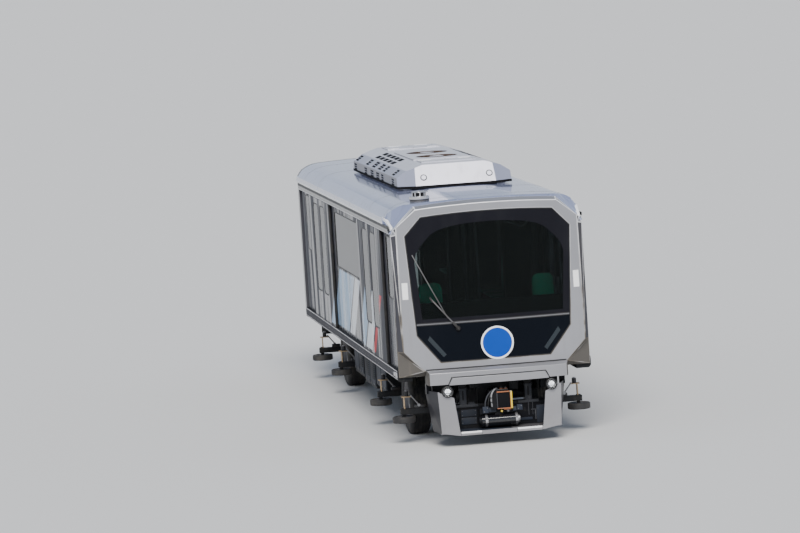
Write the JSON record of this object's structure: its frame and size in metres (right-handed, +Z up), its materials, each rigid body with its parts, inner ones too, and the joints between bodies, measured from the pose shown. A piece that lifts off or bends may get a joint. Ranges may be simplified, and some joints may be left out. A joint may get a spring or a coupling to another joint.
{
  "type": "automated people mover front car",
  "caption": "Front car of a rubber-tyred automated people mover with an octagonal glazed nose, biparting sliding doors, steering bogies and a roof air-conditioning unit.",
  "frame": {"origin": "on the running surface, under the middle of the car's overall length and width", "axes": "+X forwards to the glazed nose, +Y to the car's left, +Z up"},
  "size_m": [11.8, 2.8, 3.755],
  "materials": {
    "front_silver": "satin metallic",
    "side_panel": "high gloss metallic",
    "roof_paint": "gloss metallic",
    "hvac_silver": "satin metallic",
    "black_frame": "matt",
    "tinted_glass": "polished",
    "dark_gloss": "polished",
    "bare_steel": "satin",
    "cast_axle": "matt",
    "wheel_steel": "satin",
    "tyre": "matt",
    "guide_tyre": "matt",
    "bellows_rubber": "matt",
    "lamp": "polished",
    "wiper_black": "matt",
    "seat_plastic": "satin"
  },
  "bodies": {
    "car_body": {"underframe": "black_frame", "side_wall_left": "side_panel", "side_wall_right": "side_panel", "roof": "roof_paint", "front_mask": "front_silver", "windscreen": "tinted_glass", "nose_panel": "dark_gloss", "bumper": "front_silver", "apron": "front_silver", "headlight_left": "lamp", "headlight_right": "lamp", "front_coupler": "bare_steel", "rear_coupler": "bare_steel", "rear_end_wall": "side_panel", "gangway_bellows": "bellows_rubber", "hvac_unit": "hvac_silver", "roof_vent": "bare_steel", "wiper": "wiper_black", "bench_front": "seat_plastic", "underfloor_equipment": "black_frame", "window_front_left": "tinted_glass", "window_middle_left": "tinted_glass", "window_rear_left": "tinted_glass", "window_front_right": "tinted_glass", "window_middle_right": "tinted_glass", "window_rear_right": "tinted_glass"},
    "door_front_left_a": {"door_leaf_front_left_a": "side_panel"},
    "door_front_left_b": {"door_leaf_front_left_b": "side_panel"},
    "door_front_right_a": {"door_leaf_front_right_a": "side_panel"},
    "door_front_right_b": {"door_leaf_front_right_b": "side_panel"},
    "door_rear_left_a": {"door_leaf_rear_left_a": "side_panel"},
    "door_rear_left_b": {"door_leaf_rear_left_b": "side_panel"},
    "door_rear_right_a": {"door_leaf_rear_right_a": "side_panel"},
    "door_rear_right_b": {"door_leaf_rear_right_b": "side_panel"},
    "bogie_front": {"bogie_frame_front": "black_frame", "axle_front": "cast_axle"},
    "wheel_front_left": {"rim_front_left": "wheel_steel", "tyre_front_left": "tyre"},
    "guide_front_left_fore": {"guide_wheel_front_left_fore": "guide_tyre"},
    "guide_front_left_aft": {"guide_wheel_front_left_aft": "guide_tyre"},
    "wheel_front_right": {"rim_front_right": "wheel_steel", "tyre_front_right": "tyre"},
    "guide_front_right_fore": {"guide_wheel_front_right_fore": "guide_tyre"},
    "guide_front_right_aft": {"guide_wheel_front_right_aft": "guide_tyre"},
    "bogie_rear": {"bogie_frame_rear": "black_frame", "axle_rear": "cast_axle"},
    "wheel_rear_left": {"rim_rear_left": "wheel_steel", "tyre_rear_left": "tyre"},
    "guide_rear_left_fore": {"guide_wheel_rear_left_fore": "guide_tyre"},
    "guide_rear_left_aft": {"guide_wheel_rear_left_aft": "guide_tyre"},
    "wheel_rear_right": {"rim_rear_right": "wheel_steel", "tyre_rear_right": "tyre"},
    "guide_rear_right_fore": {"guide_wheel_rear_right_fore": "guide_tyre"},
    "guide_rear_right_aft": {"guide_wheel_rear_right_aft": "guide_tyre"}
  },
  "joints": [
    {"name": "door_front_left_a_slide", "type": "slide", "parent": "car_body", "child": "door_front_left_a", "axis": [1, 0, 0], "range_m": [0, 0.96]},
    {"name": "door_front_left_b_slide", "type": "slide", "parent": "car_body", "child": "door_front_left_b", "axis": [-1, 0, 0], "range_m": [0, 0.96]},
    {"name": "door_front_right_a_slide", "type": "slide", "parent": "car_body", "child": "door_front_right_a", "axis": [1, 0, 0], "range_m": [0, 0.96]},
    {"name": "door_front_right_b_slide", "type": "slide", "parent": "car_body", "child": "door_front_right_b", "axis": [-1, 0, 0], "range_m": [0, 0.96]},
    {"name": "door_rear_left_a_slide", "type": "slide", "parent": "car_body", "child": "door_rear_left_a", "axis": [1, 0, 0], "range_m": [0, 0.96]},
    {"name": "door_rear_left_b_slide", "type": "slide", "parent": "car_body", "child": "door_rear_left_b", "axis": [-1, 0, 0], "range_m": [0, 0.96]},
    {"name": "door_rear_right_a_slide", "type": "slide", "parent": "car_body", "child": "door_rear_right_a", "axis": [1, 0, 0], "range_m": [0, 0.96]},
    {"name": "door_rear_right_b_slide", "type": "slide", "parent": "car_body", "child": "door_rear_right_b", "axis": [-1, 0, 0], "range_m": [0, 0.96]},
    {"name": "bogie_front_steer", "type": "hinge", "parent": "car_body", "child": "bogie_front", "pos_m": [3.84, 0, 0.48], "axis": [0, 0, 1], "range_deg": [-8, 8]},
    {"name": "wheel_front_left_spin", "type": "hinge", "parent": "bogie_front", "child": "wheel_front_left", "pos_m": [3.84, 0.89, 0.48], "axis": [0, 1, 0], "continuous": true},
    {"name": "guide_front_left_fore_spin", "type": "hinge", "parent": "bogie_front", "child": "guide_front_left_fore", "pos_m": [5.02, 1.24, 0.35], "axis": [0, 0, 1], "continuous": true},
    {"name": "guide_front_left_aft_spin", "type": "hinge", "parent": "bogie_front", "child": "guide_front_left_aft", "pos_m": [2.66, 1.24, 0.35], "axis": [0, 0, 1], "continuous": true},
    {"name": "wheel_front_right_spin", "type": "hinge", "parent": "bogie_front", "child": "wheel_front_right", "pos_m": [3.84, -0.89, 0.48], "axis": [0, 1, 0], "continuous": true},
    {"name": "guide_front_right_fore_spin", "type": "hinge", "parent": "bogie_front", "child": "guide_front_right_fore", "pos_m": [5.02, -1.24, 0.35], "axis": [0, 0, 1], "continuous": true},
    {"name": "guide_front_right_aft_spin", "type": "hinge", "parent": "bogie_front", "child": "guide_front_right_aft", "pos_m": [2.66, -1.24, 0.35], "axis": [0, 0, 1], "continuous": true},
    {"name": "bogie_rear_steer", "type": "hinge", "parent": "car_body", "child": "bogie_rear", "pos_m": [-2.96, 0, 0.48], "axis": [0, 0, 1], "range_deg": [-8, 8]},
    {"name": "wheel_rear_left_spin", "type": "hinge", "parent": "bogie_rear", "child": "wheel_rear_left", "pos_m": [-2.96, 0.89, 0.48], "axis": [0, 1, 0], "continuous": true},
    {"name": "guide_rear_left_fore_spin", "type": "hinge", "parent": "bogie_rear", "child": "guide_rear_left_fore", "pos_m": [-1.78, 1.24, 0.35], "axis": [0, 0, 1], "continuous": true},
    {"name": "guide_rear_left_aft_spin", "type": "hinge", "parent": "bogie_rear", "child": "guide_rear_left_aft", "pos_m": [-4.14, 1.24, 0.35], "axis": [0, 0, 1], "continuous": true},
    {"name": "wheel_rear_right_spin", "type": "hinge", "parent": "bogie_rear", "child": "wheel_rear_right", "pos_m": [-2.96, -0.89, 0.48], "axis": [0, 1, 0], "continuous": true},
    {"name": "guide_rear_right_fore_spin", "type": "hinge", "parent": "bogie_rear", "child": "guide_rear_right_fore", "pos_m": [-1.78, -1.24, 0.35], "axis": [0, 0, 1], "continuous": true},
    {"name": "guide_rear_right_aft_spin", "type": "hinge", "parent": "bogie_rear", "child": "guide_rear_right_aft", "pos_m": [-4.14, -1.24, 0.35], "axis": [0, 0, 1], "continuous": true}
  ],
  "couplings": [
    {"joint": "door_front_left_b_slide", "follows": "door_front_left_a_slide", "ratio": 1},
    {"joint": "door_front_right_b_slide", "follows": "door_front_right_a_slide", "ratio": 1},
    {"joint": "door_rear_left_b_slide", "follows": "door_rear_left_a_slide", "ratio": 1},
    {"joint": "door_rear_right_b_slide", "follows": "door_rear_right_a_slide", "ratio": 1}
  ]
}
